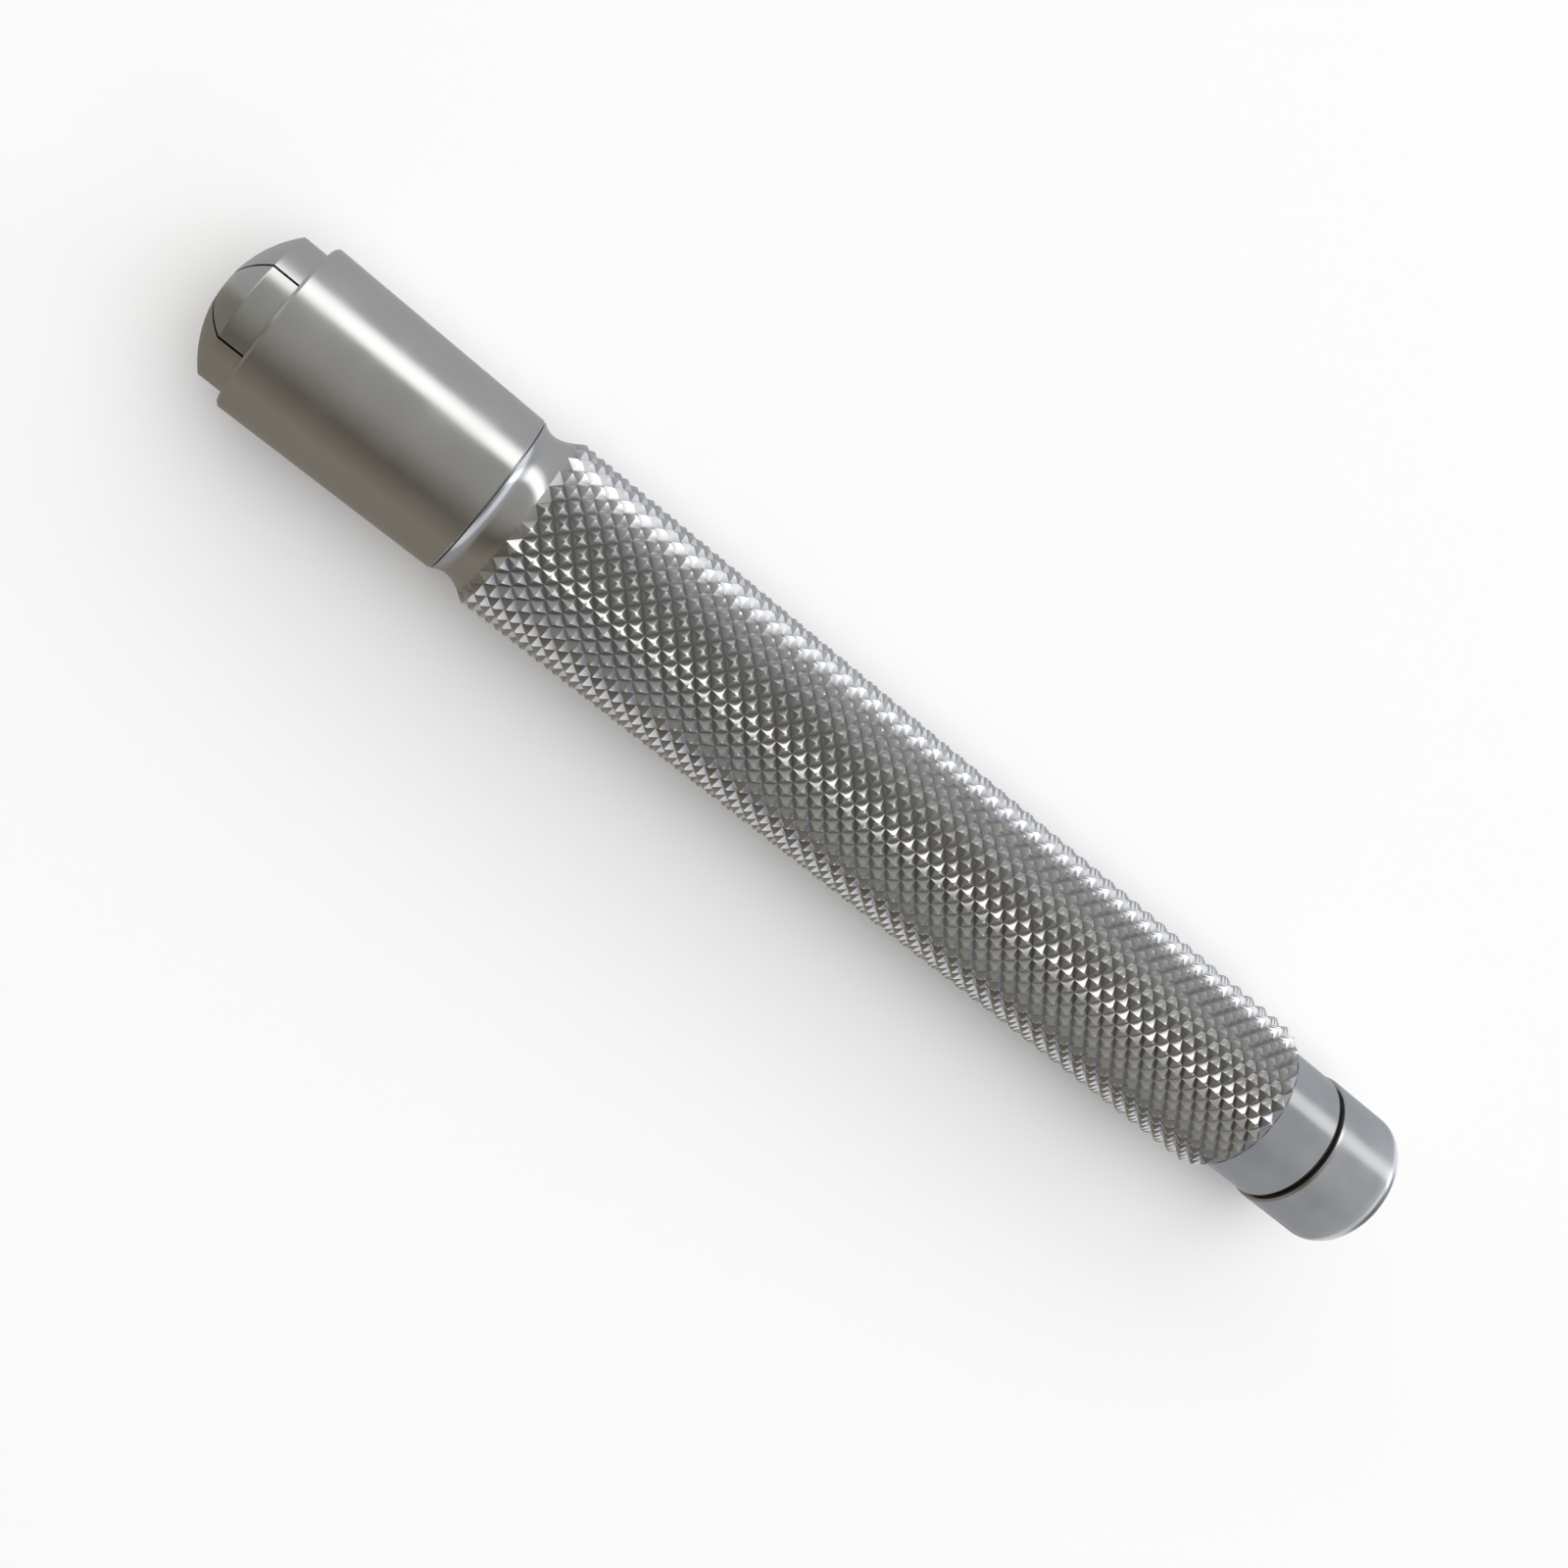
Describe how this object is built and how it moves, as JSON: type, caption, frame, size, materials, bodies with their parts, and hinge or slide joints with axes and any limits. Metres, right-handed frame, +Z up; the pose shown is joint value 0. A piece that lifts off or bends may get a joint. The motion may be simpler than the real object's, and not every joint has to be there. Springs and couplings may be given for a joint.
{
  "type": "collet hand vise",
  "caption": "Slim knurled hand vise with a slit domed collet nose in a smooth sleeve, drawn shut by turning the rounded knob at its back.",
  "frame": {"origin": "on the supporting surface, under the middle of the tool's length and axis", "axes": "+X along the tool towards the knob, +Z up, with the tool lying on its knurl"},
  "size_m": [0.0794, 0.01, 0.01],
  "materials": {
    "satin_steel": "satin, diamond knurled",
    "turned_steel": "fine turned satin",
    "jaw_steel": "turned, slightly duller than the sleeve",
    "spring_steel": "ground",
    "brass": "turned",
    "black_washer": "matte black"
  },
  "bodies": {
    "handle": {"knurled_barrel": "satin_steel", "nose_sleeve": "turned_steel", "rear_bush": "brass", "preload_washer": "spring_steel", "return_spring": "spring_steel", "thrust_washer": "black_washer"},
    "knob": {"end_knob": "turned_steel", "knob_nut": "brass", "knob_plug": "turned_steel"},
    "collet": {"collet_stem": "spring_steel", "draw_rod": "spring_steel", "rod_pin": "spring_steel", "stop_ring": "spring_steel", "spring_washer": "spring_steel"},
    "jaw_1": {"jaw_1": "jaw_steel"},
    "jaw_2": {"jaw_2": "jaw_steel"},
    "jaw_3": {"jaw_3": "jaw_steel"},
    "jaw_4": {"jaw_4": "jaw_steel"},
    "jaw_5": {"jaw_5": "jaw_steel"},
    "jaw_6": {"jaw_6": "jaw_steel"}
  },
  "joints": [
    {"name": "knob_turn", "type": "hinge", "parent": "handle", "child": "knob", "pos_m": [0.0345, 0, 0.005], "axis": [1, 0, 0], "range_deg": [0, 2520]},
    {"name": "collet_slide", "type": "slide", "parent": "handle", "child": "collet", "axis": [-1, 0, 0], "range_m": [0, 0.0035]},
    {"name": "jaw_1_spread", "type": "hinge", "parent": "collet", "child": "jaw_1", "pos_m": [-0.01705, 0, 0.0067], "axis": [0, 1, 0], "range_deg": [0, 2.92]},
    {"name": "jaw_2_spread", "type": "hinge", "parent": "collet", "child": "jaw_2", "pos_m": [-0.01705, -0.00147, 0.00585], "axis": [0, 0.5, 0.866], "range_deg": [0, 2.92]},
    {"name": "jaw_3_spread", "type": "hinge", "parent": "collet", "child": "jaw_3", "pos_m": [-0.01705, -0.00147, 0.00415], "axis": [0, -0.5, 0.866], "range_deg": [0, 2.92]},
    {"name": "jaw_4_spread", "type": "hinge", "parent": "collet", "child": "jaw_4", "pos_m": [-0.01705, 0, 0.0033], "axis": [0, -1, 0], "range_deg": [0, 2.92]},
    {"name": "jaw_5_spread", "type": "hinge", "parent": "collet", "child": "jaw_5", "pos_m": [-0.01705, 0.00147, 0.00415], "axis": [0, -0.5, -0.866], "range_deg": [0, 2.92]},
    {"name": "jaw_6_spread", "type": "hinge", "parent": "collet", "child": "jaw_6", "pos_m": [-0.01705, 0.00147, 0.00585], "axis": [0, 0.5, -0.866], "range_deg": [0, 2.92]}
  ],
  "couplings": [
    {"joint": "knob_turn", "follows": "collet_slide", "rad_per_m": 12566},
    {"joint": "jaw_1_spread", "follows": "collet_slide", "rad_per_m": 14.446},
    {"joint": "jaw_2_spread", "follows": "collet_slide", "rad_per_m": 14.446},
    {"joint": "jaw_3_spread", "follows": "collet_slide", "rad_per_m": 14.446},
    {"joint": "jaw_4_spread", "follows": "collet_slide", "rad_per_m": 14.446},
    {"joint": "jaw_5_spread", "follows": "collet_slide", "rad_per_m": 14.446},
    {"joint": "jaw_6_spread", "follows": "collet_slide", "rad_per_m": 14.446}
  ]
}
